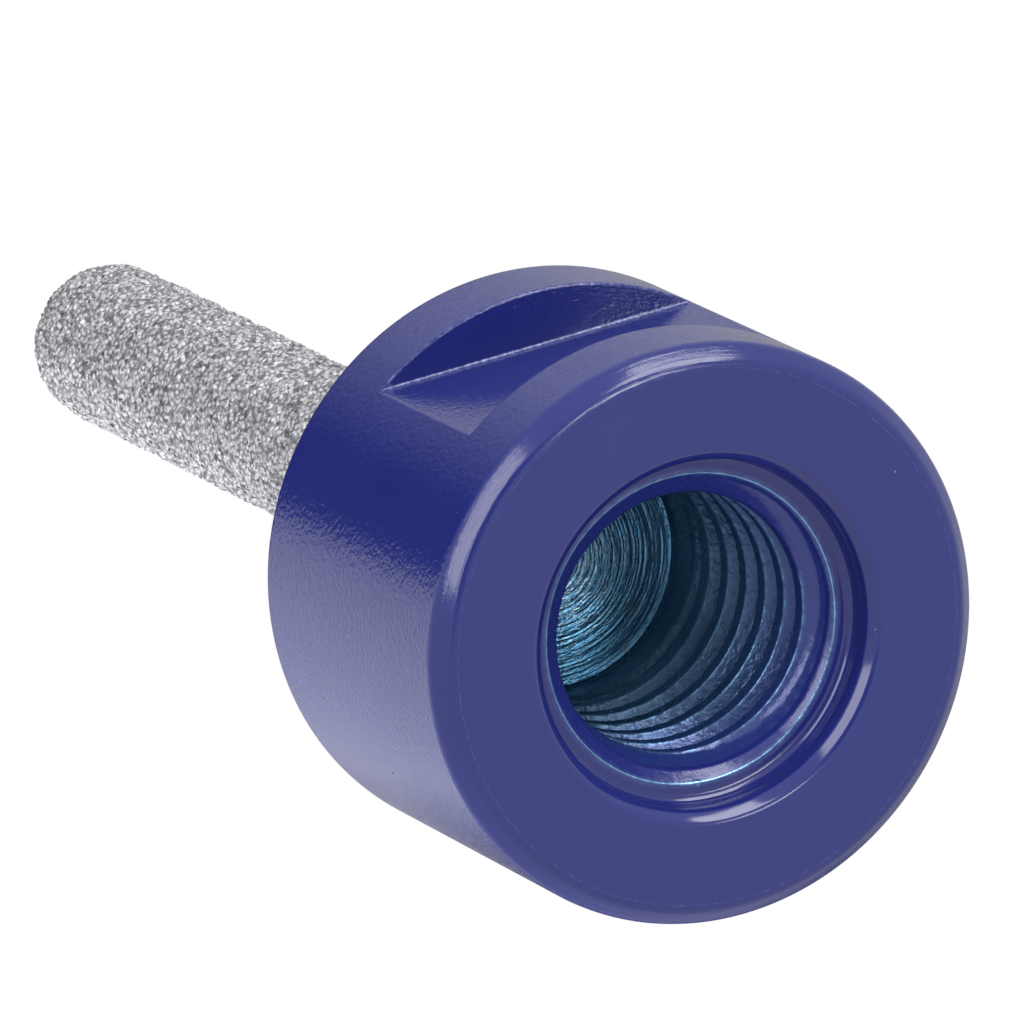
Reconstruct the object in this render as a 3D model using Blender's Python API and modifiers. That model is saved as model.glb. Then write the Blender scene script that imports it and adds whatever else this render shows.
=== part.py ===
"""Diamond finger bit: a painted steel hub that screws onto an M14 grinder spindle,
and the grit-coated finger that is brazed into its back.

The bit stands on its mouth face. The origin is the centre of that face, +Z runs up
the axis to the finger's tip, and the two spanner flats face -Y and +Y.
"""

import math

import bmesh
import bpy
from mathutils import Vector

MM = 0.001

# Hub, as turned from bar
HUB_RADIUS = 13.5 * MM
HUB_LENGTH = 19.3 * MM
FRONT_CHAMFER = 0.77 * MM
FRONT_EASING = 0.65 * MM
BACK_ROUNDING = 0.5 * MM

# Mouth, from the face inwards: chamfered lip, counterbore, ledge and lead-in chamfer
COUNTERBORE_RADIUS = 8.1 * MM
LIP_CHAMFER = 0.5 * MM
LIP_EASING = 0.2 * MM
LEDGE_DEPTH = 1.9 * MM
LEDGE_FILLET = 0.45 * MM
CHAMFER_RADIUS = 7.2 * MM

# Bore, drilled blind and tapped M14 x 2, right-hand
THREAD_MAJOR_RADIUS = 7.0 * MM
THREAD_PITCH = 2.0 * MM
BORE_RADIUS = 6.1 * MM
BORE_DEPTH = 17.0 * MM
BORE_CORNER_FILLET = 0.25 * MM
THREAD_START_DEPTH = 0.35 * MM
THREAD_FULL_DEPTH = 13.6 * MM
THREAD_RUN_OUT_TURNS = 1.0
FLANK_HALF_ANGLE = math.radians(30.0)
ROOT_FLAT = THREAD_PITCH / 8.0
CUTTER_OVERREACH = 0.35 * MM

# Spanner flats, milled as two slots across the hub's side
FLAT_TO_AXIS = 10.9 * MM
SLOT_FRONT_Z = 4.7 * MM
SLOT_BACK_Z = 14.65 * MM
SLOT_CUTTER_HEIGHT = 4.0 * MM

# Socket in the hub's back for the finger's shank
SOCKET_RADIUS = 3.75 * MM
SOCKET_DEPTH = 1.3 * MM
SOCKET_CHAMFER = 0.25 * MM

# Finger: bare shank, then the grit-coated length with its domed tip
FIT_GAP = 0.3 * MM
SHANK_RADIUS = SOCKET_RADIUS - FIT_GAP
SHANK_END_CHAMFER = 0.3 * MM
SHANK_BARE_END_Z = HUB_LENGTH + 4.0 * MM
BRAZE_FILLET = 0.9 * MM
GRIT_RADIUS = 3.92 * MM
GRIT_SHOULDER = 0.4 * MM
DOME_HEIGHT = 3.65 * MM
TIP_Z = 72.3 * MM

# Facets round a full turn
HUB_FACETS = 72
THREAD_FACETS = 48
FINGER_FACETS = 48
SMOOTH_ANGLE = math.radians(35.0)


def clear_scene():
    """Remove every object, so that only the bit is in the file."""
    for old in list(bpy.data.objects):
        bpy.data.objects.remove(old, do_unlink=True)


def new_collection(name):
    """Make a collection in the scene."""
    collection = bpy.data.collections.new(name)
    bpy.context.scene.collection.children.link(collection)
    return collection


def principled(name, colour, metallic, roughness):
    """Make a Principled material for one of the pieces."""
    material = bpy.data.materials.new(name)
    material.use_nodes = True
    shader = material.node_tree.nodes["Principled BSDF"]
    shader.inputs["Base Color"].default_value = (*colour, 1.0)
    shader.inputs["Metallic"].default_value = metallic
    shader.inputs["Roughness"].default_value = roughness
    material.diffuse_color = (*colour, 1.0)
    return material


def arc(centre, radii, start, end, steps):
    """Points (r, z) of an elliptical arc about a centre, between two angles in degrees."""
    points = []
    for step in range(steps + 1):
        angle = math.radians(start + (end - start) * step / steps)
        points.append(
            (
                centre[0] + radii[0] * math.cos(angle),
                centre[1] + radii[1] * math.sin(angle),
            )
        )
    return points


def eased(before, corner, after, radius, steps):
    """Points (r, z) that round off a corner between the lines to two neighbours."""
    corner = Vector(corner)
    into = (Vector(before) - corner).normalized()
    leave = (Vector(after) - corner).normalized()
    half = into.angle(leave) / 2.0
    centre = corner + (into + leave).normalized() * radius / math.sin(half)
    first = (corner + into * radius / math.tan(half) - centre).normalized()
    last = (corner + leave * radius / math.tan(half) - centre).normalized()
    outwards = [first.slerp(last, step / steps) for step in range(steps + 1)]
    return [tuple(centre + radius * way) for way in outwards]


def turned(name, profile, facets, material, collection):
    """Turn an (r, z) profile about Z. It starts on the axis, runs down the outside
    and ends on the axis again."""
    bm = bmesh.new()
    corners = [bm.verts.new((r, 0.0, z)) for r, z in profile]
    for upper, lower in zip(corners, corners[1:]):
        bm.edges.new((upper, lower))
    mesh = bpy.data.meshes.new(name)
    bm.to_mesh(mesh)
    bm.free()
    obj = bpy.data.objects.new(name, mesh)
    collection.objects.link(obj)
    mesh.materials.append(material)
    screw = obj.modifiers.new("turning", "SCREW")
    screw.axis = "Z"
    screw.angle = math.tau
    screw.steps = facets
    screw.render_steps = facets
    screw.use_merge_vertices = True
    screw.merge_threshold = 0.01 * MM
    return obj


def apply_modifiers(obj):
    """Turn the object's mesh into the one that its modifiers make."""
    graph = bpy.context.evaluated_depsgraph_get()
    made = bpy.data.meshes.new_from_object(obj.evaluated_get(graph))
    rough = obj.data
    obj.modifiers.clear()
    obj.data = made
    made.name = obj.name
    bpy.data.meshes.remove(rough)


def shade_round(obj):
    """Shade the turned faces smooth and keep the real edges sharp."""
    obj.data.shade_smooth()
    obj.data.set_sharp_from_angle(angle=SMOOTH_ANGLE)


def hub_profile():
    """The hub's turned section, from the socket in its back round to the bore's floor."""
    socket_floor_z = HUB_LENGTH - SOCKET_DEPTH
    profile = [
        (0.0, socket_floor_z),
        (SOCKET_RADIUS, socket_floor_z),
        (SOCKET_RADIUS, HUB_LENGTH - SOCKET_CHAMFER),
        (SOCKET_RADIUS + SOCKET_CHAMFER, HUB_LENGTH),
    ]
    profile += arc(
        (HUB_RADIUS - BACK_ROUNDING, HUB_LENGTH - BACK_ROUNDING),
        (BACK_ROUNDING, BACK_ROUNDING),
        90,
        0,
        4,
    )
    above = (HUB_RADIUS, HUB_LENGTH)
    outer = (HUB_RADIUS, FRONT_CHAMFER)
    inner = (HUB_RADIUS - FRONT_CHAMFER, 0.0)
    profile += eased(above, outer, inner, FRONT_EASING, 3)
    profile += eased(outer, inner, (0.0, 0.0), FRONT_EASING, 3)
    outer = (COUNTERBORE_RADIUS + LIP_CHAMFER, 0.0)
    inner = (COUNTERBORE_RADIUS, LIP_CHAMFER)
    profile += eased((HUB_RADIUS, 0.0), outer, inner, LIP_EASING, 2)
    profile += eased(outer, inner, (COUNTERBORE_RADIUS, LEDGE_DEPTH), LIP_EASING, 2)
    profile += arc(
        (COUNTERBORE_RADIUS - LEDGE_FILLET, LEDGE_DEPTH - LEDGE_FILLET),
        (LEDGE_FILLET, LEDGE_FILLET),
        0,
        90,
        3,
    )
    profile.append((CHAMFER_RADIUS, LEDGE_DEPTH))
    profile.append((BORE_RADIUS, LEDGE_DEPTH + CHAMFER_RADIUS - BORE_RADIUS))
    profile += arc(
        (BORE_RADIUS - BORE_CORNER_FILLET, BORE_DEPTH - BORE_CORNER_FILLET),
        (BORE_CORNER_FILLET, BORE_CORNER_FILLET),
        0,
        90,
        2,
    )
    profile.append((0.0, BORE_DEPTH))
    return profile


def groove_section(depth):
    """The thread groove's section, as (r, z) about its own middle: a narrow root flat
    and two 60-degree flanks that run on past the bore's wall."""
    root = BORE_RADIUS + depth
    inner = BORE_RADIUS - CUTTER_OVERREACH
    half_root = ROOT_FLAT / 2.0
    half_inner = half_root + (root - inner) * math.tan(FLANK_HALF_ANGLE)
    return [
        (inner, -half_inner),
        (root, -half_root),
        (root, half_root),
        (inner, half_inner),
    ]


def thread_cutter(collection):
    """The helical cutter for the M14 x 2 thread. Its section follows a right-hand helix
    and, over the last turn, draws back to the bore's wall as a tap's lead leaves it."""
    full_depth = THREAD_MAJOR_RADIUS - BORE_RADIUS
    full_turns = (THREAD_FULL_DEPTH - THREAD_START_DEPTH) / THREAD_PITCH
    sections = round((full_turns + THREAD_RUN_OUT_TURNS) * THREAD_FACETS)
    bm = bmesh.new()
    rings = []
    for index in range(sections + 1):
        turns = index / THREAD_FACETS
        angle = math.tau * turns
        # Seen along +Z from the mouth, a right-hand thread turns clockwise as it goes in
        direction = (math.cos(angle), math.sin(angle))
        run_out = max(0.0, turns - full_turns) / THREAD_RUN_OUT_TURNS
        depth = full_depth * (1.0 - run_out)
        middle_z = THREAD_START_DEPTH + THREAD_PITCH * turns
        ring = [
            bm.verts.new((r * direction[0], r * direction[1], middle_z + z))
            for r, z in groove_section(depth)
        ]
        rings.append(ring)
    for ring, following in zip(rings, rings[1:]):
        for corner in range(len(ring)):
            other = (corner + 1) % len(ring)
            bm.faces.new(
                (ring[corner], ring[other], following[other], following[corner])
            )
    bm.faces.new(reversed(rings[0]))
    bm.faces.new(rings[-1])
    bmesh.ops.recalc_face_normals(bm, faces=bm.faces)
    mesh = bpy.data.meshes.new("thread_cutter")
    bm.to_mesh(mesh)
    bm.free()
    return helper("thread_cutter", mesh, collection)


def slot_cutter(name, side, collection):
    """The box that mills one spanner flat. Side is -1 for the -Y flat and 1 for the +Y one."""
    bm = bmesh.new()
    bmesh.ops.create_cube(bm, size=1.0)
    bmesh.ops.scale(
        bm,
        vec=(3.0 * HUB_RADIUS, SLOT_CUTTER_HEIGHT, SLOT_BACK_Z - SLOT_FRONT_Z),
        verts=bm.verts,
    )
    mesh = bpy.data.meshes.new(name)
    bm.to_mesh(mesh)
    bm.free()
    cutter = helper(name, mesh, collection)
    cutter.location = (
        0.0,
        side * (FLAT_TO_AXIS + SLOT_CUTTER_HEIGHT / 2.0),
        (SLOT_FRONT_Z + SLOT_BACK_Z) / 2.0,
    )
    return cutter


def helper(name, mesh, collection):
    """Make a cutter, which is drawn as wire and left out of the render."""
    obj = bpy.data.objects.new(name, mesh)
    collection.objects.link(obj)
    obj.hide_render = True
    obj.display_type = "WIRE"
    return obj


def cut(obj, cutter):
    """Take the cutter's volume away from the object."""
    boolean = obj.modifiers.new(cutter.name, "BOOLEAN")
    boolean.operation = "DIFFERENCE"
    boolean.solver = "EXACT"
    boolean.object = cutter


def threaded_hub(collection, cutters):
    """The painted steel hub: turned, tapped, and milled with its two spanner flats."""
    paint = principled("blue_paint_on_steel", (0.024, 0.027, 0.20), 0.0, 0.28)
    hub = turned("threaded_hub", hub_profile(), HUB_FACETS, paint, collection)
    cut(hub, slot_cutter("front_slot_cutter", -1.0, cutters))
    cut(hub, slot_cutter("rear_slot_cutter", 1.0, cutters))
    cut(hub, thread_cutter(cutters))
    apply_modifiers(hub)
    shade_round(hub)
    return hub


def finger_profile():
    """The finger's section, from the tip down to the end of its shank."""
    shank_end_z = HUB_LENGTH - SOCKET_DEPTH + FIT_GAP
    profile = arc((0.0, TIP_Z - DOME_HEIGHT), (GRIT_RADIUS, DOME_HEIGHT), 90, 0, 9)
    profile[0] = (0.0, TIP_Z)
    profile += [
        (GRIT_RADIUS, SHANK_BARE_END_Z + GRIT_SHOULDER),
        (SHANK_RADIUS, SHANK_BARE_END_Z),
    ]
    braze_z = HUB_LENGTH + FIT_GAP
    profile += arc(
        (SHANK_RADIUS + BRAZE_FILLET, braze_z + BRAZE_FILLET),
        (BRAZE_FILLET, BRAZE_FILLET),
        180,
        270,
        3,
    )
    profile += [
        (SHANK_RADIUS, braze_z),
        (SHANK_RADIUS, shank_end_z + SHANK_END_CHAMFER),
        (SHANK_RADIUS - SHANK_END_CHAMFER, shank_end_z),
        (0.0, shank_end_z),
    ]
    return profile


def diamond_finger(collection):
    """The finger: a steel rod, bare at its shank, with brazed diamond grit on the rest."""
    grit = principled("brazed_diamond_grit", (0.36, 0.37, 0.39), 0.6, 0.5)
    finger = turned("diamond_finger", finger_profile(), FINGER_FACETS, grit, collection)
    apply_modifiers(finger)
    shade_round(finger)
    return finger


def main():
    """Build the bit."""
    clear_scene()
    bit = new_collection("diamond_finger_bit")
    cutters = new_collection("cutters")
    threaded_hub(bit, cutters)
    diamond_finger(bit)


main()
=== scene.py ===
"""Looks of a diamond finger bit: an enamelled steel hub with a tapped bore and two spanner
flats, and a finger with brazed diamond grit.

The bit stands on its mouth face at z = 0 with its axis on Z. The camera looks up into the
mouth, past the spanner flat that faces -Y.
"""

import logging
import math
from collections.abc import Callable
from dataclasses import dataclass, field
from enum import Enum
from functools import partial

import bpy
import numpy as np
from mathutils import Matrix, Vector, kdtree, noise


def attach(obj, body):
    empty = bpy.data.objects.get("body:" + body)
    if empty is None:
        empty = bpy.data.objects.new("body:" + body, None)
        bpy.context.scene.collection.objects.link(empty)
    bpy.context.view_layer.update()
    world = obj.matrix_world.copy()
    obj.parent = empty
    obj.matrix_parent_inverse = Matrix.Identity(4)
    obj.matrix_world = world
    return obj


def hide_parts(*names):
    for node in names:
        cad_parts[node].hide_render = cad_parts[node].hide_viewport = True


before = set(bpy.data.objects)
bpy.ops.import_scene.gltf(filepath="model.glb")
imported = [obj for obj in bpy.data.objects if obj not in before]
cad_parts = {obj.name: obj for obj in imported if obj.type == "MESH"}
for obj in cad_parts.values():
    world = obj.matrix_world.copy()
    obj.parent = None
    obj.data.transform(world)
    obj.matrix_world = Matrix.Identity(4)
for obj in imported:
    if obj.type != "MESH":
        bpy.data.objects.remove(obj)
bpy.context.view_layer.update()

LOG = logging.getLogger("diamond_finger_bit")
MM = 0.001

MATH = "ShaderNodeMath"
VECTOR = "ShaderNodeVectorMath"
# Its inputs in order: the value, where that starts and ends, and what these two become
RANGE = "ShaderNodeMapRange"
MIX = "ShaderNodeMix"
# Its inputs in order: the place, the scale, the detail and the roughness
NOISE = "ShaderNodeTexNoise"
CELLS = "ShaderNodeTexVoronoi"
BUMP = "ShaderNodeBump"
SPLIT = "ShaderNodeSeparateXYZ"
JOIN = "ShaderNodeCombineXYZ"
COORDINATES = "ShaderNodeTexCoord"
ATTRIBUTE = "ShaderNodeAttribute"
PRINCIPLED = "ShaderNodeBsdfPrincipled"
OUTPUT = "ShaderNodeOutputMaterial"
# How nodes of these kinds are set, unless a call says otherwise
USUAL = {MATH: {"operation": "MULTIPLY"}, MIX: {"data_type": "RGBA"}}

Tree = bpy.types.NodeTree
Node = bpy.types.Node
Socket = bpy.types.NodeSocket
Feed = float | tuple | Socket | Node | None
Feeds = dict[str, Feed] | list[Feed] | tuple
Adder = Callable[..., Node]
Point = tuple[float, float, float]
Level = float | np.ndarray
Row = tuple[Level, Level, Level]
Place = tuple[float, float]
Span = tuple[float, float]


class Region(Enum):
    """The finish that a face of the hub takes, as its material's place in the mesh."""

    ENAMEL = 0
    LACQUERED_STEEL = 1


def linear(hex_colour: str) -> tuple[float, float, float, float]:
    """Turn an sRGB hex colour, such as "#22276A", into linear RGBA."""
    parts = [int(hex_colour[i : i + 2], 16) / 255.0 for i in (1, 3, 5)]
    lit = [c / 12.92 if c <= 0.04045 else ((c + 0.055) / 1.055) ** 2.4 for c in parts]
    return (lit[0], lit[1], lit[2], 1.0)


def add_node(tree: Tree, kind: str, feeds: Feeds = (), **settings: object) -> Node:
    """Add a node, set its properties and feed its inputs.

    Args:
        tree: The node tree that gets it.
        kind: The node's type, such as "ShaderNodeMath".
        feeds: What the inputs get, by their names, or in the order of those in use with
            None for one that is left alone: a value, the output that drives it, or a
            node, which drives it by its first output in use.
        settings: The node's properties, where they aren't the usual ones of its kind.

    Returns:
        The node.
    """
    node = tree.nodes.new(kind)
    for name, value in (USUAL.get(kind, {}) | settings).items():
        setattr(node, name, value)
    if not isinstance(feeds, dict):
        feeds = dict(zip([n for n, gate in enumerate(node.inputs) if gate.enabled], feeds))
    for name, value in feeds.items():
        if isinstance(value, Node):
            value = next(output for output in value.outputs if output.enabled)
        if isinstance(value, Socket):
            tree.links.new(value, node.inputs[name])
        elif value is not None:
            node.inputs[name].default_value = value
    return node


def new_material(name: str) -> tuple[bpy.types.Material, Adder]:
    """Make a material with an empty tree, and what adds a node to that tree."""
    material = bpy.data.materials.new(name)
    material.use_nodes = True
    material.node_tree.nodes.clear()
    return material, partial(add_node, material.node_tree)


def scale_of(size: float) -> float:
    """The scale of a pattern whose features are that many millimetres across."""
    return 1.0 / (size * MM)


def metres(span: Span) -> Span:
    """A span given in millimetres, in metres."""
    return (span[0] * MM, span[1] * MM)


def from_axis(add: Adder, place: Socket) -> Node:
    """The distance from the axis."""
    parts = add(SPLIT, [place]).outputs
    level = add(JOIN, [parts["X"], parts["Y"]])
    return add(VECTOR, [level], operation="LENGTH")


def turned(add: Adder, place: Socket, length: float, width: float) -> Node:
    """Noise drawn out round the axis, as a lathe, a drill or a tap leaves its marks.

    Args:
        add: Adds a node to the material's tree.
        place: The object coordinates.
        length: The marks' length round the axis, in millimetres.
        width: Their width, in millimetres.

    Returns:
        The height of the marks, round 0.5.
    """
    parts = add(SPLIT, [place]).outputs
    # Height and radius together, so that the marks cross walls, cones and faces alike
    radius = from_axis(add, place)
    lane = add(MATH, [parts["Z"], 0.7, radius], operation="MULTIPLY_ADD")
    spread = add(JOIN, [parts["X"], parts["Y"], lane])
    scales = (scale_of(length), scale_of(length), scale_of(width))
    drawn = add(VECTOR, [spread, scales], operation="MULTIPLY")
    return add(NOISE, [drawn, 1.0, 3.0, 0.6])


def add_mesh(name: str, points: np.ndarray, faces: list, smooth: bool = True) -> bpy.types.Object:
    """Make a mesh object from points and faces and put it in the scene.

    Args:
        name: The object's name.
        points: Its points in metres, one a row.
        faces: Its faces, as tuples of point numbers.
        smooth: Whether the faces are shaded smooth.

    Returns:
        The object.
    """
    mesh = bpy.data.meshes.new(name)
    mesh.from_pydata(points.tolist(), [], faces)
    mesh.polygons.foreach_set("use_smooth", [smooth] * len(mesh.polygons))
    mesh.update()
    obj = bpy.data.objects.new(name, mesh)
    bpy.context.scene.collection.objects.link(obj)
    return obj


def add_card(name: str, across: Span, up: Span, height: float = 0.0) -> bpy.types.Object:
    """Make a flat rectangle that faces +Z, from its spans on X and Y in metres."""
    (left, right), (low, high) = across, up
    corners = [(left, low), (right, low), (right, high), (left, high)]
    points = np.array([(x, y, height) for x, y in corners])
    return add_mesh(name, points, [(0, 1, 2, 3)], smooth=False)


def soft_max(a: np.ndarray, b: np.ndarray, blend: float) -> np.ndarray:
    """The larger of two values, with the corner between them rounded over a blend."""
    return np.maximum(a, b) + np.maximum(blend - np.abs(a - b), 0.0) ** 2 / (4.0 * blend)


@dataclass
class Skin:
    """A closed skin: its points in millimetres, its faces, the row that each face starts
    from, and the wear at each point."""

    points: np.ndarray
    faces: list[tuple[int, ...]]
    rows_of: list[int]
    wear: np.ndarray


def plain(places: list[Place]) -> list[Row]:
    """Rings without wear, each at one radius and height."""
    return [(r, z, 0.0) for r, z in places]


def stitched(rows: list[Row], angles: np.ndarray) -> Skin:
    """Join rings of points round Z into one closed skin.

    Points that fall on one place become one point, and faces that this leaves with no
    area are dropped, so a ring may close to a point and rows may run together.

    Args:
        rows: For each ring, its radius, height and wear, each a number or one per angle.
        angles: The angles, from 0 to a full turn, with both ends.

    Returns:
        The skin.
    """
    levels = [[np.broadcast_to(level, angles.shape) for level in row] for row in rows]
    r, z, wear = np.array(levels).transpose(1, 0, 2)
    grid = np.stack([r * np.cos(angles), r * np.sin(angles), z], axis=-1)
    keys = np.round(grid.reshape(-1, 3) * 2.0e4).astype(np.int64)
    _, first, place = np.unique(keys, axis=0, return_index=True, return_inverse=True)
    index = place.reshape(r.shape)
    corners_of = [index[:-1, :-1], index[:-1, 1:], index[1:, 1:], index[1:, :-1]]
    faces = []
    rows_of = []
    for row, quads in enumerate(np.stack(corners_of, axis=-1).tolist()):
        for quad in quads:
            corners = tuple(dict.fromkeys(quad))
            if len(corners) >= 3:
                faces.append(corners)
                rows_of.append(row)
    return Skin(grid.reshape(-1, 3)[first], faces, rows_of, wear.reshape(-1)[first])


def arc(centre: Place, radius: float, start: float, end: float, steps: int) -> list[Place]:
    """Points (r, z) that cut an arc into steps, from one angle in degrees to another."""
    turns = np.radians(np.linspace(start, end, steps + 1))
    return [(centre[0] + radius * math.cos(t), centre[1] + radius * math.sin(t)) for t in turns]


def eased(before: Place, corner: Place, after: Place, radius: float, steps: int) -> list[Place]:
    """Points (r, z) that round a profile's corner off.

    Args:
        before: A place on the line that runs into the corner.
        corner: The corner.
        after: A place on the line that leaves it.
        radius: The rounding's radius.
        steps: How many chords it has.

    Returns:
        The points, from the one line to the other.
    """
    middle = np.array(corner)
    into = np.array(before) - middle
    leave = np.array(after) - middle
    into /= np.linalg.norm(into)
    leave /= np.linalg.norm(leave)
    half = math.acos(float(into @ leave)) / 2.0
    centre = middle + (into + leave) / np.linalg.norm(into + leave) * radius / math.sin(half)
    first = middle + into * radius / math.tan(half) - centre
    last = middle + leave * radius / math.tan(half) - centre
    span = math.pi - 2.0 * half
    found = []
    for share in np.linspace(0.0, 1.0, steps + 1):
        part = first * math.sin((1.0 - share) * span) + last * math.sin(share * span)
        point = centre + part / math.sin(span)
        found.append((float(point[0]), float(point[1])))
    return found


@dataclass(frozen=True)
class GlossEnamel:
    """Blue stoving enamel, sprayed on turned steel and baked: a deep colour under a hard
    gloss, through which the lathe's fine rings still show as broken streaks. All sizes are
    in millimetres."""

    colour: str = "#252D7A"
    pooled: str = "#1F266E"
    # Pale blue of worn coat and dust specks, also painted on as highlight lines along the slots'
    # edges and corners
    pale_wear_and_highlight: str = "#8F9AD2"
    pinhole: str = "#15184A"
    roughness: float = 0.12
    ior: float = 1.5
    cloud_size: float = 5.0
    streak_width: float = 0.14
    streak_length: float = 0.45
    streak_height: float = 0.015
    peel_size: float = 0.26
    peel_height: float = 0.022
    line_width: float = 0.16
    line_length: float = 4.0
    line_height: float = 0.018
    break_size: float = 0.28
    speck_spacing: float = 2.4
    speck_size: float = 0.06
    pinhole_spacing: float = 6.5
    pinhole_size: float = 0.11
    side_radius: Span = (13.3, 13.4)
    relief_radius: Span = (9.0, 13.4)
    relief_height: Span = (0.3, 1.0)
    rim_radius: Span = (12.3, 12.6)
    rim_height: Span = (0.9, 1.3)

    def material(self) -> bpy.types.Material:
        """Build the enamel's node tree."""
        material, add = new_material("gloss_enamel_baked_on_turned_steel")
        place = add(COORDINATES).outputs["Object"]
        cloud = add(NOISE, [place, scale_of(self.cloud_size), 3.0])
        body = add(MIX, [cloud, linear(self.colour), linear(self.pooled)])
        light = self.pale_marks_and_highlights(add, place)
        # Pale marks over the body colour: worn coat, dust, and painted highlight lines
        coat = add(MIX, [light, body, linear(self.pale_wear_and_highlight)])
        holes = self.pinholes(add, place)
        colour = add(MIX, [holes, coat, linear(self.pinhole)])
        least, most = self.roughness * 0.8, self.roughness * 1.25
        smooth = add(RANGE, [cloud, None, None, least, most])
        rough = add(MATH, [holes, 0.5, smooth], operation="MULTIPLY_ADD")
        surface = {"Base Color": colour, "Roughness": rough, "IOR": self.ior}
        surface["Normal"] = self.relief(add, place)
        shader = add(PRINCIPLED, surface)
        add(OUTPUT, [shader])
        return material

    def pinholes(self, add: Adder, place: Socket) -> Node:
        """Find the few pinholes that baking left in the coat on the side.

        Args:
            add: Adds a node to the material's tree.
            place: The object coordinates.

        Returns:
            1 in a pinhole and 0 off it.
        """
        spots = add(CELLS, [place, scale_of(self.pinhole_spacing)]).outputs["Distance"]
        share = self.pinhole_size / self.pinhole_spacing
        near = add(RANGE, [spots, 0.6 * share, share, 1.0, 0.0])
        on_side = add(RANGE, [from_axis(add, place), *metres(self.side_radius)])
        return add(MATH, [near, on_side])

    def pale_marks_and_highlights(self, add: Adder, place: Socket) -> Node:
        """Find where the coat is painted pale: along the edges that the wear attribute marks, in
        broken lines, and at a few specks of dust. On the spanner slots' edges and corners these
        pale lines are partly worn coat and partly a painted highlight; the line round the face
        is simply painted pale.

        Args:
            add: Adds a node to the material's tree.
            place: The object coordinates.

        Returns:
            How pale the coat is painted, from 0 to 1.
        """
        edge = add(ATTRIBUTE, attribute_name="wear").outputs["Fac"]
        gaps = add(NOISE, [place, scale_of(self.break_size), 4.0])
        broken = add(RANGE, [gaps, 0.44, 0.66, 0.05, 1.0])
        line = add(MATH, [edge, broken])
        dust = add(CELLS, [place, scale_of(self.speck_spacing)]).outputs["Distance"]
        share = self.speck_size / self.speck_spacing
        near = add(RANGE, [dust, 0.3 * share, share, 0.75, 0.0])
        return add(MATH, [line, near], operation="MAXIMUM")

    def relief(self, add: Adder, place: Socket) -> Node:
        """Lay the lathe's broken rings over the coat's orange peel. Both are strong on the
        side, weaker on the milled flats, and faint on the face and in the counterbore. The
        lathe's longest lines show on the turned edge round the mouth.

        Args:
            add: Adds a node to the material's tree.
            place: The object coordinates.

        Returns:
            The normal.
        """
        radius = from_axis(add, place)
        height = add(SPLIT, [place]).outputs["Z"]
        out = add(RANGE, [radius, *metres(self.relief_radius), 0.1, 1.0])
        up = add(RANGE, [height, *metres(self.relief_height), 0.12, 1.0])
        share = add(MATH, [out, up])
        waves = {"Strength": share, "Distance": self.peel_height * MM}
        waves["Height"] = add(NOISE, [place, scale_of(self.peel_size), 2.0])
        streaks = {"Strength": share, "Distance": self.streak_height * MM}
        streaks["Height"] = turned(add, place, self.streak_length, self.streak_width)
        streaks["Normal"] = add(BUMP, waves)
        near_rim = add(RANGE, [radius, *metres(self.rim_radius)])
        on_rim = add(RANGE, [height, *metres(self.rim_height), 1.0, 0.0])
        lines = {"Strength": add(MATH, [near_rim, on_rim])}
        lines["Distance"] = self.line_height * MM
        lines["Height"] = turned(add, place, self.line_length, self.line_width)
        lines["Normal"] = add(BUMP, streaks)
        return add(BUMP, lines)


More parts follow.
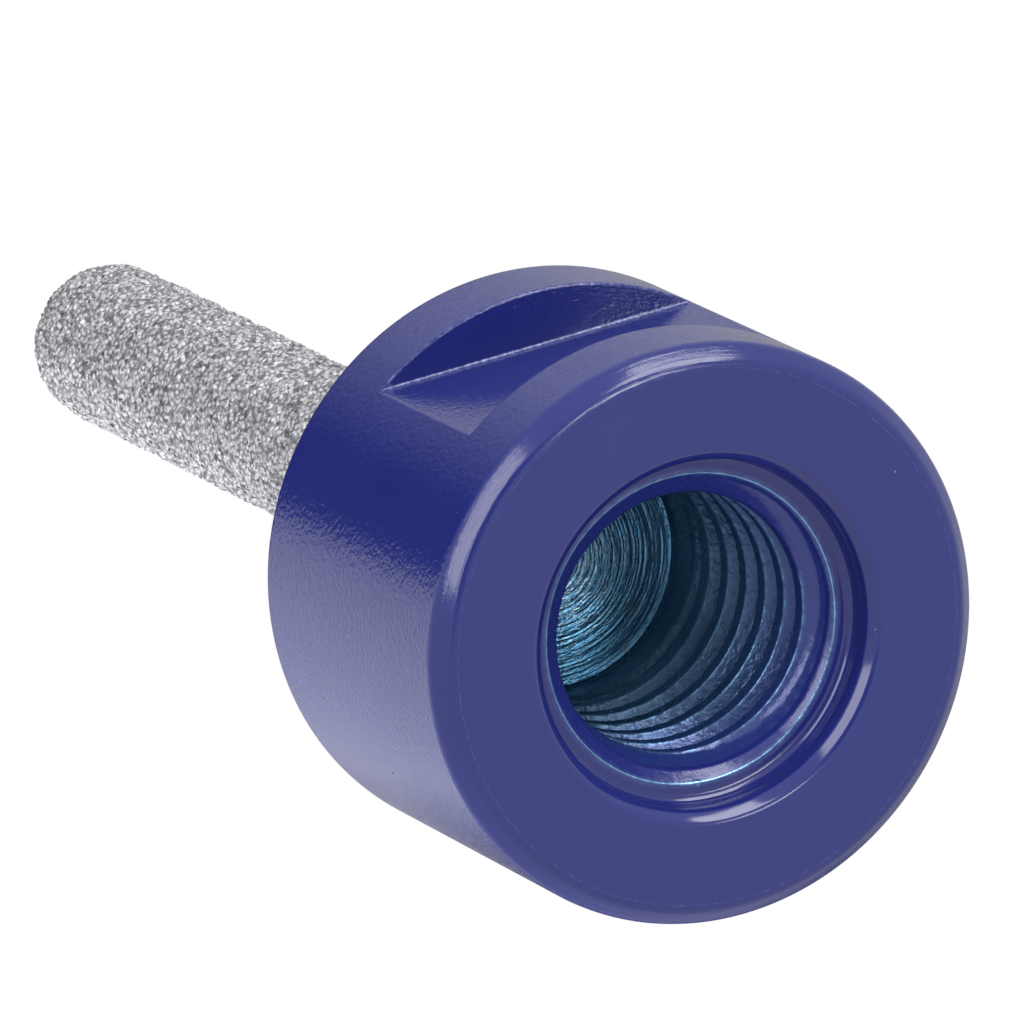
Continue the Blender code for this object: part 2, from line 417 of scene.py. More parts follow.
@dataclass(frozen=True)
class LacqueredSteel:
    """Drilled and tapped steel under a faint drift of the blue coat: full enamel on the
    chamfer, dark glossy blue on the thread, and machined metal that shines through as teal
    on worn edges and on the floor, whose ring tops also carry a painted highlight. All sizes
    are in millimetres."""

    enamel: str = "#252D7A"
    thread: str = "#2C4C88"
    deep: str = "#2C5C7E"
    floor: str = "#568FB4"
    # Pale steel for the floor's ring tops: partly worn lacquer, partly a painted highlight
    rubbed_and_glinting: str = "#CBD8DA"
    bright: str = "#76A6C6"
    roughness: float = 0.2
    cone_end: Span = (9.13, 9.22)
    ledge_edge: Span = (7.24, 7.44)
    spray_end: Span = (2.4, 6.5)
    deep_end: Span = (5.0, 14.0)
    floor_start: Span = (16.7, 16.9)
    # Radii over which the floor's painted highlight fades from the middle outwards
    middle: Span = (1.0, 4.5)
    ring_width: float = 0.07
    ring_length: float = 0.5
    chip_size: float = 0.35
    scratch_width: float = 0.09
    scratch_length: float = 0.35
    scratch_height: float = 0.03
    torn_size: float = 0.3
    torn_height: float = 0.05

    def material(self) -> bpy.types.Material:
        """Build the lacquered steel's node tree."""
        material, add = new_material("thin_blue_coat_on_tapped_steel")
        place = add(COORDINATES).outputs["Object"]
        height = add(SPLIT, [place]).outputs["Z"]
        radius = from_axis(add, place)
        # Radius and height add up to the same length all over the 45 degree chamfer
        reach = add(MATH, [radius, height], operation="ADD")
        past_cone = add(RANGE, [reach, *metres(self.cone_end)])
        off_ledge = add(RANGE, [radius, *metres(self.ledge_edge), 1.0, 0.0])
        past_edge = add(MATH, [past_cone, off_ledge])
        # The spray reached the first turns of the thread
        reached = add(RANGE, [height, *metres(self.spray_end), 0.15, 1.0])
        inside = add(MATH, [past_edge, reached])
        depth = add(RANGE, [height, *metres(self.deep_end)])
        at_floor = add(RANGE, [height, *metres(self.floor_start)])
        wall = add(MIX, [depth, linear(self.thread), linear(self.deep)])
        floor = self.drilled(add, place, radius)
        bore = add(MIX, [at_floor, wall, floor])
        coat = add(MIX, [inside, linear(self.enamel), bore])
        fine = add(NOISE, [place, scale_of(self.chip_size), 5.0, 0.65])
        edge = add(ATTRIBUTE, attribute_name="wear").outputs["Fac"]
        chips = add(RANGE, [fine, 0.42, 0.6, 0.25, 1.0])
        broken = add(MATH, [edge, chips])
        whole = add(RANGE, [edge, 0.86, 1.0])
        worn = add(MATH, [broken, whole], operation="MAXIMUM")
        colour = add(MIX, [worn, coat, linear(self.bright)])
        bare = add(RANGE, [at_floor, None, None, 0.3, 0.92])
        shows = add(MATH, [inside, bare])
        metal = add(MATH, [shows, worn], operation="MAXIMUM")
        least, most = self.roughness * 0.6, self.roughness * 1.5
        rough = add(RANGE, [fine, 0.3, 0.7, least, most])
        surface = {"Base Color": colour, "Metallic": metal, "Roughness": rough}
        surface["Normal"] = self.relief(add, place, inside, at_floor)
        shader = add(PRINCIPLED, surface)
        add(OUTPUT, [shader])
        return material

    def drilled(self, add: Adder, place: Socket, radius: Node) -> Node:
        """Colour the bore's floor, where the rings' tops are painted pale, partly as worn
        lacquer and partly as a painted highlight, most of all near the middle.

        Args:
            add: Adds a node to the material's tree.
            place: The object coordinates.
            radius: The distance from the axis.

        Returns:
            The colour.
        """
        rings = turned(add, place, self.ring_length, self.ring_width)
        tops = add(RANGE, [rings, 0.48, 0.66])
        middle = add(RANGE, [radius, *metres(self.middle), 0.9, 0.15])
        # Pale ring tops, strongest near the middle: partly worn lacquer, partly a painted
        # highlight
        rubbed_and_glinting = add(MATH, [tops, middle])
        return add(MIX, [rubbed_and_glinting, linear(self.floor), linear(self.rubbed_and_glinting)])

    def relief(self, add: Adder, place: Socket, inside: Node, at_floor: Node) -> Node:
        """Draw the tap's and the drill's scratches out round the axis, over the torn and
        lumpy skin that the drift of paint leaves on them.

        Args:
            add: Adds a node to the material's tree.
            place: The object coordinates.
            inside: 1 past the chamfer, 0 on it.
            at_floor: 1 on the bore's floor, 0 elsewhere.

        Returns:
            The normal.
        """
        walls = add(RANGE, [at_floor, None, None, 1.0, 0.35])
        torn = {"Strength": add(MATH, [inside, walls])}
        torn["Distance"] = self.torn_height * MM
        torn["Height"] = add(NOISE, [place, scale_of(self.torn_size), 3.0])
        scratches = {"Strength": add(RANGE, [inside, None, None, 0.6, 1.0])}
        scratches["Distance"] = self.scratch_height * MM
        scratches["Height"] = turned(add, place, self.scratch_length, self.scratch_width)
        scratches["Normal"] = add(BUMP, torn)
        return add(BUMP, scratches)


@dataclass(frozen=True)
class BrazedGrit:
    """Diamond grit in nickel alloy, brazed in a vacuum furnace: grey metal that wets each
    crystal, with a painted highlight on some crystal tops and painted shade in the gaps
    between them. Under the grit the shank is bare turned steel, with fine rings. All sizes
    are in millimetres."""

    metal: str = "#F2F1F6"
    shaded_gap: str = "#8E8E97"
    # Pure white, painted on some crystal tops as a highlight
    crystal: str = "#FFFFFF"
    # Dark grey painted in the few pits, as shade
    pit_shade: str = "#3A3B42"
    steel: str = "#B4B5BA"
    dull_steel: str = "#97989F"
    roughness: float = 0.26
    grain: float = 0.24
    grain_height: float = 0.065
    skin_size: float = 0.11
    coat_start: Span = (23.2, 23.5)
    ring_width: float = 0.16
    ring_length: float = 5.0
    ring_height: float = 0.012

    def material(self) -> bpy.types.Material:
        """Build the grit's node tree."""
        material, add = new_material("diamond_grit_brazed_in_nickel")
        place = add(COORDINATES).outputs["Object"]
        height = add(SPLIT, [place]).outputs["Z"]
        coated = add(RANGE, [height, *metres(self.coat_start)])
        crystals = add(CELLS, [place, scale_of(self.grain)])
        away = crystals.outputs["Distance"]
        tops = add(RANGE, [away, 0.25, 0.7, 1.0, 0.0])
        picks = list(add("ShaderNodeSeparateColor", [crystals.outputs["Color"]]).outputs)
        rings = turned(add, place, self.ring_length, self.ring_width)
        bare = add(MIX, [rings, linear(self.dull_steel), linear(self.steel)])
        grains = self.grains(add, tops, picks)
        colour = add(MIX, [coated, bare, grains])
        least, most = self.roughness * 0.55, self.roughness * 1.35
        surface = {"Base Color": colour}
        surface["Metallic"] = add(RANGE, [coated, None, None, 1.0, 0.4])
        surface["Roughness"] = add(RANGE, [picks[1], None, None, most, least])
        on_shank = add(RANGE, [coated, None, None, 1.0, 0.0])
        turns = {"Strength": on_shank, "Distance": self.ring_height * MM, "Height": rings}
        lumps = {"Strength": coated, "Distance": self.grain_height * MM}
        lumps["Height"] = self.facets(add, place, crystals, tops)
        lumps["Normal"] = add(BUMP, turns)
        surface["Normal"] = add(BUMP, lumps)
        shader = add(PRINCIPLED, surface)
        add(OUTPUT, [shader])
        return material

    def grains(self, add: Adder, tops: Node, picks: list[Socket]) -> Node:
        """Colour the crystals and the braze between them, with painted shade in the gaps. Some
        crystal tops are painted white as a highlight, and a few crystals fell out and left
        pits, painted dark as shade.

        Args:
            add: Adds a node to the material's tree.
            tops: 1 on a crystal's top, 0 in the gap beside it.
            picks: Three chances, from 0 to 1, that are the same all over a crystal.

        Returns:
            The colour.
        """
        # The braze is painted darker towards the gaps between crystals, as shade
        base = add(MIX, [tops, linear(self.shaded_gap), linear(self.metal)])
        dull = add(RANGE, [picks[0], None, None, 0.78, 1.05])
        shaded = add(VECTOR, [base, dull], operation="SCALE")
        # Some crystal tops are painted white as a highlight
        clear = add(RANGE, [picks[1], 0.78, 0.9])
        glint_top = add(MATH, [clear, tops])
        lit = add(MIX, [glint_top, shaded, linear(self.crystal)])
        # A few crystals fell out; their pits are painted dark as shade
        shaded_pits = add(RANGE, [picks[2], 0.93, 0.95, None, 0.8])
        return add(MIX, [shaded_pits, lit, linear(self.pit_shade)])

    def facets(self, add: Adder, place: Socket, crystals: Node, tops: Node) -> Node:
        """Raise each crystal, with a face that leans its own way, so that some of them flash.

        Args:
            add: Adds a node to the material's tree.
            place: The object coordinates.
            crystals: The cells, one for each crystal.
            tops: 1 on a crystal's top, 0 in the gap beside it.

        Returns:
            The height.
        """
        cells = crystals.outputs
        scaled = add(VECTOR, [place, scale_of(self.grain)], operation="SCALE")
        local = add(VECTOR, [scaled, cells["Position"]], operation="SUBTRACT")
        upright = (0.5, 0.5, 0.5)
        lean = add(VECTOR, [cells["Color"], upright], operation="SUBTRACT")
        facet = add(VECTOR, [local, lean], operation="DOT_PRODUCT")
        fine = add(NOISE, [place, scale_of(self.skin_size), 3.0, 0.65])
        crowned = add(MATH, [tops, 0.6, fine], operation="MULTIPLY_ADD")
        return add(MATH, [facet, 2.0, crowned], operation="MULTIPLY_ADD")


@dataclass
class ThreadedHub:
    """The enamelled hub, one piece of steel: turned outside, milled with two spanner flats,
    and drilled and tapped M14 x 2 from the mouth. All sizes are in millimetres."""

    radius: float = 13.5
    length: float = 19.3
    front_edge: float = 0.77
    front_easing: float = 0.65
    back_rounding: float = 0.5
    counterbore: float = 8.1
    lip_edge: float = 0.5
    lip_easing: float = 0.45
    ledge_depth: float = 1.9
    ledge_fillet: float = 0.45
    chamfer_radius: float = 7.2
    bore: float = 6.1
    bore_depth: float = 17.0
    bore_fillet: float = 0.25
    groove_depth: float = 0.9
    pitch: float = 2.0
    thread_start: float = 0.35
    full_turns: float = 6.625
    thread_low: float = 2.0
    thread_high: float = 15.9
    flat_to_axis: float = 10.9
    slot_front: float = 4.7
    slot_back: float = 14.65
    slot_edge: float = 0.14
    slot_corner: float = 0.16
    socket: float = 3.75
    socket_depth: float = 1.3
    ring_spacing: float = 0.085
    ring_lift: float = 0.026
    torn_edge: float = 0.005
    worn_width: float = 0.07
    pool_slope: float = 0.64
    flank_angle: float = 30.0
    column_step: float = 1.5
    burr_angle: float = 98.0
    seed: int = 14
    enamel: GlossEnamel = field(default_factory=GlossEnamel)
    lacquer: LacqueredSteel = field(default_factory=LacqueredSteel)

    def angles(self) -> np.ndarray:
        """The angles of the columns, packed closer at the ends of the flats."""
        even = np.radians(np.arange(0.0, 360.0, self.column_step))
        half = math.acos(self.flat_to_axis / self.radius)
        sides = (math.pi / 2, 3 * math.pi / 2)
        ends = [side + sign * half for side in sides for sign in (-1, 1)]
        near = np.radians([-0.8, -0.48, -0.32, -0.19, -0.06, 0.06, 0.19, 0.32, 0.48, 0.8])
        clear = [a for a in even if min(abs(a - end) for end in ends) > math.radians(1.0)]
        close = [end + step for end in ends for step in near]
        return np.array(sorted(clear + close) + [math.tau])

    def flat_depth(self, angles: np.ndarray) -> np.ndarray:
        """How far a spanner flat lies under the turned side at each angle."""
        reach = self.flat_to_axis / np.maximum(np.abs(np.sin(angles)), 0.2)
        return soft_max(self.radius - reach, np.zeros_like(angles), 0.06)

    def slot_wall(self, angles: np.ndarray, at: float, up: float, outwards: bool) -> list[Row]:
        """The rows across one end wall of the slots.

        Args:
            angles: The angles of the columns.
            at: The wall's height.
            up: 1 where the solid lies above the wall, or -1 where it lies below.
            outwards: Whether the rows run from the flat to the side.

        Returns:
            The rows.
        """
        depth = self.flat_depth(angles)
        share = np.minimum(1.0, depth / (self.slot_edge + self.slot_corner))
        sliver = 0.01
        turns = np.radians(np.linspace(0.0, 90.0, 5))
        rows = []
        for turn in turns:
            z = at + up * max(self.slot_edge * (1.0 - math.sin(turn)), sliver)
            r = self.radius - self.slot_edge * share * (1.0 - math.cos(turn))
            # A pale line along the slot's outer edge, partly worn coat and partly a painted
            # highlight
            rubbed_and_glinting = 0.35 * share * math.sin(2.0 * turn)
            rows.append((r, z, rubbed_and_glinting))
        for turn in turns:
            z = at - up * max(self.slot_corner * (1.0 - math.cos(turn)), sliver)
            r = self.radius - depth + self.slot_corner * share * (1.0 - math.sin(turn))
            # A pale line in the slot's inner corner, partly coat worn through and partly a
            # painted highlight
            pale_and_highlit = 0.8 * share * math.sin(2.0 * turn)
            rows.append((r, z, pale_and_highlit))
        return rows[::-1] if outwards else rows

    def groove(
        self, angles: np.ndarray, z: np.ndarray, ragged: np.ndarray
    ) -> tuple[np.ndarray, np.ndarray]:
        """How deep the thread lies under the bore's wall.

        Args:
            angles: The angles of the columns.
            z: The height at each of them.
            ragged: How far the tap's torn edge stands off there.

        Returns:
            The depth at each angle, and how near each place is to an edge of the groove.
        """
        share = angles / math.tau
        turns = np.maximum(np.round((z - self.thread_start) / self.pitch - share), 0.0) + share
        middle = self.thread_start + self.pitch * turns
        fade = np.clip(turns - self.full_turns, 0.0, 1.0)
        depth = self.groove_depth * (1.0 - fade)
        slope = math.tan(math.radians(self.flank_angle))
        opening = self.pitch / 16.0 + depth * slope + ragged
        to_edge = opening - np.abs(z - middle)
        # Enamel pooled in the first turn, which fills it up to a slope in line with the mouth
        pooled = self.chamfer_radius - self.pool_slope * (z - self.ledge_depth) - self.bore
        room = np.maximum(pooled, 0.0) + 2.0 * np.clip(turns - 1.4, 0.0, 1.0)
        cut = np.minimum(np.minimum(to_edge / slope, depth), room)
        made = soft_max(cut, np.zeros_like(z), 0.05)
        near = np.clip(1.0 - np.abs(to_edge) / self.worn_width, 0.0, 1.0)
        deeper_side = np.where(z > middle, 0.8, 0.0)
        return made, near * deeper_side * (depth > 0.1)

    def thread(self, angles: np.ndarray) -> list[Row]:
        """The rows of the chamfer, thread and plain bore, which follow the helix."""
        rng = np.random.default_rng(self.seed)
        half = [0.0, 0.09, 0.13, 0.2, 0.36, 0.52, 0.59, 0.63, 0.67, 0.72, 0.85]
        steps = sorted([-s for s in half[1:]] + half + [1.0])
        rows = []
        lowest = math.floor((self.thread_low - self.thread_start) / self.pitch) - 2
        highest = math.ceil((self.thread_high - self.thread_start) / self.pitch) + 1
        waves = [(k, rng.uniform(0, math.tau), rng.uniform(0.4, 1.0)) for k in range(7, 60, 5)]
        for turn in range(lowest, highest + 1):
            for step in steps:
                z = self.thread_start + self.pitch * (turn + angles / math.tau) + step
                free = (z > self.thread_low) & (z < self.thread_high)
                z = np.clip(z, self.thread_low, self.thread_high)
                helix = angles / math.tau + turn + (step > 0.0) * 0.37
                ragged = sum(
                    size * np.sin(k * math.tau * helix * 0.91 + start)
                    for k, start, size in waves
                )
                cone = self.chamfer_radius - (z - self.ledge_depth)
                depth, near = self.groove(angles, z, self.torn_edge * ragged)
                wall = self.bore + depth
                wear = near * free * (cone < wall + 0.02)
                rows.append((soft_max(cone, wall, 0.05), z, wear))
        return rows

    def outside_rows(self, angles: np.ndarray) -> list[Row]:
        """The rings from the socket in the hub's back to the side's lower edge."""
        length, socket, rounding = self.length, self.socket, self.back_rounding
        floor = length - self.socket_depth
        places = [(0.0, floor), (1.5, floor), (3.0, floor), (socket - 0.05, floor)]
        places += [(socket, floor + 0.05), (socket, length - 0.28)]
        places += [(socket + 0.02, length - 0.24), (socket + 0.23, length - 0.02)]
        places += [(r, length) for r in (socket + 0.28, socket + 0.34, 6.0, 9.0, 11.5)]
        places.append((self.radius - rounding - 0.06, length))
        places += arc((self.radius - rounding, length - rounding), rounding, 90.0, 0.0, 7)
        side = (length - rounding - 0.06, 17.9, 16.4, self.slot_back + 0.2)
        places += [(self.radius, z) for z in side]
        rows = plain(places) + self.slot_wall(angles, self.slot_back, 1.0, False)
        flat = self.radius - self.flat_depth(angles)
        rows += [(flat, z, 0.0) for z in (14.4, 13.0, 11.3, 9.7, 8.0, 6.4, 4.95)]
        rows += self.slot_wall(angles, self.slot_front, -1.0, True)
        return rows + plain([(self.radius, z) for z in (4.5, 3.4, 2.2, 1.4)])

    def mouth_rows(self) -> list[Row]:
        """The rings of the front edge, the face, the lip, the counterbore and the ledge."""
        radius, edge, easing = self.radius, self.front_edge, self.front_easing
        outer, inner = (radius, edge), (radius - edge, 0.0)
        places = [(radius, edge + 0.5 * easing)]
        places += eased((radius, 9.0), outer, inner, easing, 5)
        places += eased(outer, inner, (0.0, 0.0), easing, 5)
        rows = plain(places)
        # A faint pale line is painted round the face, just inside its edge
        rows.append((radius - edge - 0.45 * easing, 0.0, 0.22))
        lip = self.counterbore + self.lip_edge
        places = [(radius - edge - 0.52 * easing, 0.0)]
        places += [(r, 0.0) for r in (12.1, 11.2, 10.2, 9.4, lip + 0.25)]
        outer, inner = (lip, 0.0), (self.counterbore, self.lip_edge)
        places += eased((radius, 0.0), outer, inner, self.lip_easing, 4)
        places += eased(outer, inner, (self.counterbore, 9.0), self.lip_easing, 4)
        fillet, ledge = self.ledge_fillet, self.ledge_depth
        places.append((self.counterbore, self.lip_edge + 0.25))
        places.append((self.counterbore, ledge - fillet - 0.05))
        corner = (self.counterbore - fillet, ledge - fillet)
        places += arc(corner, fillet, 0.0, 90.0, 7)
        places += [(corner[0] - 0.05, ledge), (self.chamfer_radius + 0.25, ledge)]
        return rows + plain(places)

    def bore_rows(self, angles: np.ndarray) -> list[Row]:
        """The rings from the ledge's sharp edge through the thread to the bore's floor."""
        off = (np.degrees(angles) - self.burr_angle) / 1.5
        burr = np.exp(-off**2) * (0.7 + 0.3 * np.sin(np.degrees(angles) * 2.2))
        rows = []
        edge = ((0.1, 0.0, 0.1), (0.04, 0.0, 0.3), (0.012, 0.003, 1.0), (-0.012, 0.018, 1.0))
        for r, z, wear in edge + ((-0.04, 0.045, 0.15),):
            r_here = self.chamfer_radius + r - 0.02 * burr
            z_here = self.ledge_depth + z - 0.03 * burr
            rows.append((r_here, z_here, np.minimum(wear + 0.8 * burr, 1.0)))
        low = self.chamfer_radius - self.thread_low + self.ledge_depth
        rows.append((low, self.thread_low, 0.1))
        rows += self.thread(angles)
        wall_end = self.bore_depth - self.bore_fillet
        corner = (self.bore - self.bore_fillet, wall_end)
        places = [(self.bore, z) for z in (16.2, 16.5, wall_end - 0.04)]
        rows += plain(places + arc(corner, self.bore_fillet, 0.0, 90.0, 5))
        # The drill's rings on the floor, each of them higher here and lower there
        for lane, r in enumerate(np.arange(corner[0] - 0.06, 0.25, -self.ring_spacing)):
            spots = [
                Vector((r * math.cos(a) / 2.5, r * math.sin(a) / 2.5, self.seed + 7.3 * lane))
                for a in angles[:-1]
            ]
            lift = np.array([noise.noise(spot) for spot in spots] + [noise.noise(spots[0])])
            rows.append((r, self.bore_depth + self.ring_lift * lift, 0.0))
        return rows + [(0.0, self.bore_depth, 0.0)]

    def build(self) -> None:
        """Make the hub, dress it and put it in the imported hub's place."""
        angles = self.angles()
        coated = self.outside_rows(angles) + self.mouth_rows()
        rows = coated + self.bore_rows(angles)
        skin = stitched(rows, angles)
        faces = [face[::-1] for face in skin.faces]
        obj = add_mesh("enamelled_hub", skin.points * MM, faces)
        # The drill's rings keep their hard edges, and everything else is smooth
        floor_start = len(rows) - 1 - round((self.bore - self.bore_fillet) / self.ring_spacing)
        smooth = [row < floor_start for row in skin.rows_of]
        obj.data.polygons.foreach_set("use_smooth", smooth)
        wear = obj.data.attributes.new("wear", "FLOAT", "POINT")
        wear.data.foreach_set("value", skin.wear.astype(np.float32))
        obj.data.materials.append(self.enamel.material())
        obj.data.materials.append(self.lacquer.material())
        regions = [
            (Region.ENAMEL if row < len(coated) - 1 else Region.LACQUERED_STEEL).value
            for row in skin.rows_of
        ]
        obj.data.polygons.foreach_set("material_index", regions)
        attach(obj, "root")
        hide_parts("threaded_hub")
        report(obj)


@dataclass
class DiamondFinger:
    """The steel finger: its bare shank in the hub's socket, the braze round its foot, and
    the grit that covers the rest. All sizes are in millimetres."""

    shank: float = 3.45
    shank_end: float = 18.3
    end_chamfer: float = 0.3
    braze_low: float = 19.6
    braze: float = 0.9
    bare_end: float = 23.3
    shoulder: float = 0.4
    grit: float = 3.92
    dome: float = 3.65
    tip: float = 72.3
    bond: float = 0.1
    step: float = 0.132
    grain: float = 0.28
    columns: int = 196
    grain_height: float = 0.17
    grain_tilt: float = 0.33
    clump_size: float = 0.9
    clump_height: float = 0.075
    height_limits: Span = (-0.08, 0.2)
    seed: int = 75
    finish: BrazedGrit = field(default_factory=BrazedGrit)

    def rows(self) -> list[Row]:
        """The finger's rings, as radius, height and how much grit stands on them."""
        shank, low, end = self.shank, self.braze_low, self.shank_end
        places = [(0.0, end), (2.0, end), (shank - self.end_chamfer, end)]
        places += [(shank, end + self.end_chamfer), (shank, low - 0.02)]
        places += [(shank + 0.04, low), (shank + self.braze - 0.04, low)]
        places += arc((shank + self.braze, low + self.braze), self.braze, 268.0, 182.0, 8)
        places += [(shank, z) for z in np.arange(20.6, self.bare_end - 0.3, 0.3)]
        found = plain(places)
        inner = self.grit - self.bond
        for share in np.linspace(0.0, 1.0, 6):
            r = shank + (inner - shank) * share
            found.append((r, self.bare_end - 0.15 + self.shoulder * share, float(share)))
        straight_end = self.tip - self.dome
        count = round((straight_end - self.bare_end - self.shoulder) / self.step)
        for z in np.linspace(self.bare_end + self.shoulder, straight_end, count + 1):
            found.append((inner, float(z), 1.0))
        height = self.dome - self.bond - 0.04
        for turn in np.radians(np.linspace(0.0, 90.0, 46))[1:]:
            r = inner * math.cos(turn)
            found.append((max(r, 0.0), straight_end + height * math.sin(turn), 1.0))
        found[-1] = (0.0, straight_end + height, 0.6)
        return found

    def crystals(self, rng: np.random.Generator) -> list[Point]:
        """The middles of the crystals, in loose rings up the finger and over its dome."""
        centres = []
        inner = self.grit - self.bond
        straight_end = self.tip - self.dome
        lift = self.grain * 0.87
        z = self.bare_end - self.grain
        turn = 0.0
        while turn < math.pi / 2 - 0.03:
            r, here = inner, z
            if z < straight_end:
                z += lift
            else:
                turn += lift / inner
                r = inner * math.cos(turn)
                here = straight_end + (self.dome - self.bond) * math.sin(turn)
            count = max(1, round(math.tau * r / self.grain))
            shift = rng.uniform()
            for k in range(count):
                angle = math.tau * (k + shift + rng.uniform(-0.38, 0.38)) / count
                up = here + rng.uniform(-0.4, 0.4) * self.grain
                centres.append((r * math.cos(angle), r * math.sin(angle), up))
        return centres

    def relief(self, points: np.ndarray, weights: np.ndarray) -> np.ndarray:
        """How far the grit stands over the bond at each point.

        Args:
            points: The points, in millimetres.
            weights: How much grit each of them has.

        Returns:
            The height at each point, in millimetres.
        """
        rng = np.random.default_rng(self.seed)
        centres = self.crystals(rng)
        tree = kdtree.KDTree(len(centres))
        for number, centre in enumerate(centres):
            tree.insert(centre, number)
        tree.balance()
        tall = rng.beta(1.6, 1.6, len(centres)) * self.grain_height
        tilt = rng.normal(0.0, self.grain_tilt, (len(centres), 3))
        made = np.zeros(len(points))
        for number, (point, weight) in enumerate(zip(points.tolist(), weights.tolist())):
            if weight == 0.0:
                continue
            centre, grain, away = tree.find(point)
            lean = sum(t * (p - c) for t, p, c in zip(tilt[grain], point, centre))
            crown = 1.0 - 0.85 * min(1.0, away / (0.62 * self.grain)) ** 2
            clump = noise.noise(Vector(point) / self.clump_size) * self.clump_height
            made[number] = weight * (tall[grain] * crown + lean + clump)
        return np.clip(made, *self.height_limits)

    def build(self) -> None:
        """Make the finger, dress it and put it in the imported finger's place."""
        angles = np.linspace(0.0, math.tau, self.columns + 1)
        rows = self.rows()
        skin = stitched(rows, angles)
        points, weights = skin.points, skin.wear
        profile = np.array(rows)
        tangent = np.gradient(profile[:, :2], axis=0)
        out = np.stack([tangent[:, 1], -tangent[:, 0]], axis=1)
        out /= np.maximum(np.linalg.norm(out, axis=1), 1e-9)[:, None]
        radial = np.linalg.norm(points[:, :2], axis=1)
        off = np.abs(points[:, 2, None] - profile[:, 1]) + np.abs(radial[:, None] - profile[:, 0])
        row_of = np.argmin(off, axis=1)
        unit = points[:, :2] / np.maximum(radial, 1e-9)[:, None]
        lift = self.relief(points, weights)
        points[:, :2] += unit * (lift * out[row_of, 0])[:, None]
        points[:, 2] = np.minimum(points[:, 2] + lift * out[row_of, 1], self.tip)
        obj = add_mesh("grit_finger", points * MM, skin.faces)
        obj.data.materials.append(self.finish.material())
        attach(obj, "root")
        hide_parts("diamond_finger")
        report(obj)


def facing_bit(towards: Point, distance: float, front: str) -> Matrix:
    """The place, off to one side, of a thing whose front axis points at the bit."""
    way = Vector(towards).normalized()
    facing = (-way).to_track_quat(front, "Y").to_matrix().to_4x4()
    return Matrix.Translation(way * distance) @ facing


@dataclass(frozen=True)
class Flag:
    """A black card off to one side, which only reflections see. It reaches from low to
    high across its middle, and thins out over the last part at either end."""

    name: str
    towards: Point
    low: float
    high: float
    tall: float
    low_feather: float
    high_feather: float
    darkness: float
    turn: float = 0.0
    distance: float = 0.6

    def build(self) -> None:
        """Make the card, facing the bit."""
        half = self.tall / 2.0
        obj = add_card(self.name, (self.low, self.high), (-half, half))
        spin = Matrix.Rotation(math.radians(self.turn), 4, "Z")
        obj.matrix_world = facing_bit(self.towards, self.distance, "Z") @ spin
        obj.data.materials.append(self.material())
        obj.visible_camera = False
        obj.visible_diffuse = False
        obj.visible_shadow = False

    def material(self) -> bpy.types.Material:
        """Black cloth that thins out towards two of its edges."""
        material, add = new_material(self.name + "_black_cloth")
        place = add(COORDINATES).outputs["Object"]
        across = add(SPLIT, [place]).outputs["X"]
        rise = add(RANGE, [across, self.low, self.low + self.low_feather])
        edge = self.high - self.high_feather
        fall = add(RANGE, [across, edge, self.high, 1.0, 0.0])
        both = add(MATH, [rise, fall])
        dark = add(MATH, [both, self.darkness])
        clear = add("ShaderNodeBsdfTransparent")
        black = add("ShaderNodeEmission", {"Strength": 0.0})
        cloth = add("ShaderNodeMixShader", [dark, clear, black])
        add(OUTPUT, [cloth])
        return material


@dataclass(frozen=True)
class Softbox:
    """A rectangular studio light that faces the bit. It either shows in what is glossy or
    lights what is dull."""

    name: str
    towards: Point
    size: tuple[float, float]
    radiance: float
    in_gloss: bool
    distance: float = 0.6

    def build(self) -> None:
        """Make the light."""
        data = bpy.data.lights.new(self.name, "AREA")
        data.shape = "RECTANGLE"
        data.size, data.size_y = self.size
        # A lamp of this power shines with the wanted radiance over its area
        data.energy = 4.0 * self.radiance * self.size[0] * self.size[1]
        obj = bpy.data.objects.new(self.name, data)
        bpy.context.scene.collection.objects.link(obj)
        obj.matrix_world = facing_bit(self.towards, self.distance, "-Z")
        obj.visible_camera = False
        obj.visible_diffuse = not self.in_gloss
        obj.visible_glossy = self.in_gloss


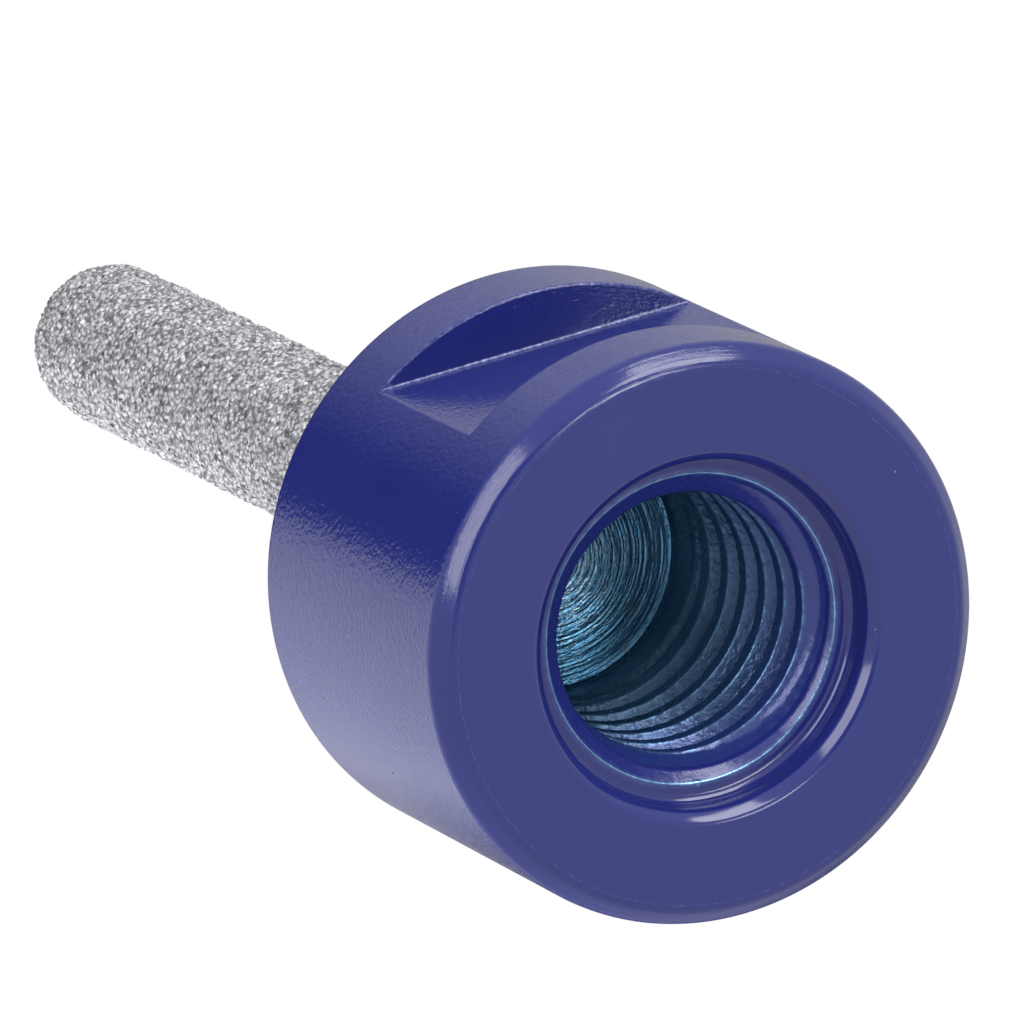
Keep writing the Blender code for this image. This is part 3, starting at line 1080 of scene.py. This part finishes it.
@dataclass
class Studio:
    """The plain white studio round the bit: world, floor, lights, black cards and camera."""

    ambient: float = 0.8
    floor_colour: str = "#F4F4F4"
    floor_size: float = 1.6
    floor_drop: float = 0.02
    focal_length: float = 560.6
    sensor_width: float = 36.0
    camera_place: Point = (-0.2638441, -0.2155573, -0.6344333)
    camera_right: Point = (0.89619779, 0.16104509, -0.41339329)
    camera_up: Point = (0.26283624, -0.94339669, 0.20228642)
    lights: tuple[Softbox, ...] = (
        Softbox("top_softbox", (0.41, -0.76, -0.50), (0.3, 0.34), 6.2, True),
        Softbox("left_softbox", (-0.66, -0.58, -0.48), (0.46, 0.26), 4.0, True),
        Softbox("front_fill", (-0.36, -0.29, -0.89), (0.3, 0.3), 1.4, False),
        Softbox("top_fill", (0.1, -0.95, -0.3), (0.3, 0.3), 5.0, False),
        Softbox("low_fill", (-0.45, 0.75, 0.5), (0.3, 0.3), 12.0, False),
        Softbox("side_softbox", (-0.264, 0.377, 0.888), (0.55, 0.5), 0.15, True, 0.8),
        Softbox("bore_softbox", (0.3, -0.1, -0.95), (0.12, 0.12), 8.0, True),
    )
    flags: tuple[Flag, ...] = (
        Flag("left_flag", (-0.33, -0.32, 0.89), -0.33, 0.17, 1.0, 0.33, 0.015, 0.97),
        Flag("low_flag", (0.25, 0.40, 0.89), -0.32, 0.5, 1.2, 0.3, 0.3, 0.5),
        Flag("near_flag", (0.08, 0.45, 0.89), -0.05, 0.002, 0.06, 0.002, 0.008, 0.65, 90.0, 0.06),
        Flag("high_flag", (0.45, -0.05, 0.89), -0.4, 0.4, 1.2, 0.2, 0.2, 0.18),
        Flag("camera_flag", (-0.372, -0.304, -0.877), -0.25, 0.25, 0.5, 0.14, 0.14, 0.8),
    )

    def build(self) -> None:
        """Set up the studio."""
        self.set_world()
        self.lay_floor()
        for light in self.lights:
            light.build()
        for flag in self.flags:
            flag.build()
        self.place_camera()
        bpy.context.scene.view_settings.view_transform = "Standard"
        LOG.info("studio: %d lights, %d black cards", len(self.lights), len(self.flags))

    def set_world(self) -> None:
        """White to the eye and in reflections, and plain soft light on what is dull."""
        world = bpy.data.worlds.new("white_studio")
        world.use_nodes = True
        world.node_tree.nodes.clear()
        add = partial(add_node, world.node_tree)
        path = add("ShaderNodeLightPath").outputs
        direct = add(MATH, [path["Is Camera Ray"], path["Is Glossy Ray"]], operation="MAXIMUM")
        seen = add(MATH, [direct, path["Is Transmission Ray"]], operation="MAXIMUM")
        strength = add(RANGE, [seen, None, None, self.ambient, 1.0])
        shown = add("ShaderNodeBackground", {"Color": linear("#FFFFFF"), "Strength": strength})
        add("ShaderNodeOutputWorld", [shown])
        bpy.context.scene.world = world

    def lay_floor(self) -> None:
        """Lay the pale floor that the bit stands on. It shows only from above, so that the
        camera under it looks through."""
        half = self.floor_size / 2.0
        floor = add_card("pale_floor", (-half, half), (-half, half), -self.floor_drop * MM)
        material, add = new_material("pale_matt_board")
        under = add("ShaderNodeNewGeometry").outputs["Backfacing"]
        board = add("ShaderNodeBsdfDiffuse", {"Color": linear(self.floor_colour)})
        clear = add("ShaderNodeBsdfTransparent")
        seen = add("ShaderNodeMixShader", [under, board, clear])
        add(OUTPUT, [seen])
        floor.data.materials.append(material)
        floor.visible_diffuse = False
        floor.visible_glossy = False
        floor.visible_transmission = False
        floor.visible_shadow = False

    def place_camera(self) -> None:
        """Set the camera at the viewing angle: below the mouth face, looking up into it."""
        data = bpy.data.cameras.new("studio_camera")
        data.lens = self.focal_length
        data.sensor_width = self.sensor_width
        data.clip_start = 0.05
        data.clip_end = 20.0
        camera = bpy.data.objects.new("studio_camera", data)
        bpy.context.scene.collection.objects.link(camera)
        right = Vector(self.camera_right)
        up = Vector(self.camera_up)
        facing = Matrix((right, up, right.cross(up))).transposed()
        camera.matrix_world = Matrix.Translation(self.camera_place) @ facing.to_4x4()
        bpy.context.scene.camera = camera


def report(obj: bpy.types.Object) -> None:
    """Report a piece's name and its number of triangles."""
    obj.data.calc_loop_triangles()
    LOG.info("%s: %d triangles", obj.name, len(obj.data.loop_triangles))


def main() -> None:
    """Build the bit and its studio."""
    logging.basicConfig(level=logging.INFO, format="%(message)s")
    ThreadedHub().build()
    DiamondFinger().build()
    Studio().build()


if __name__ == "__main__":
    main()
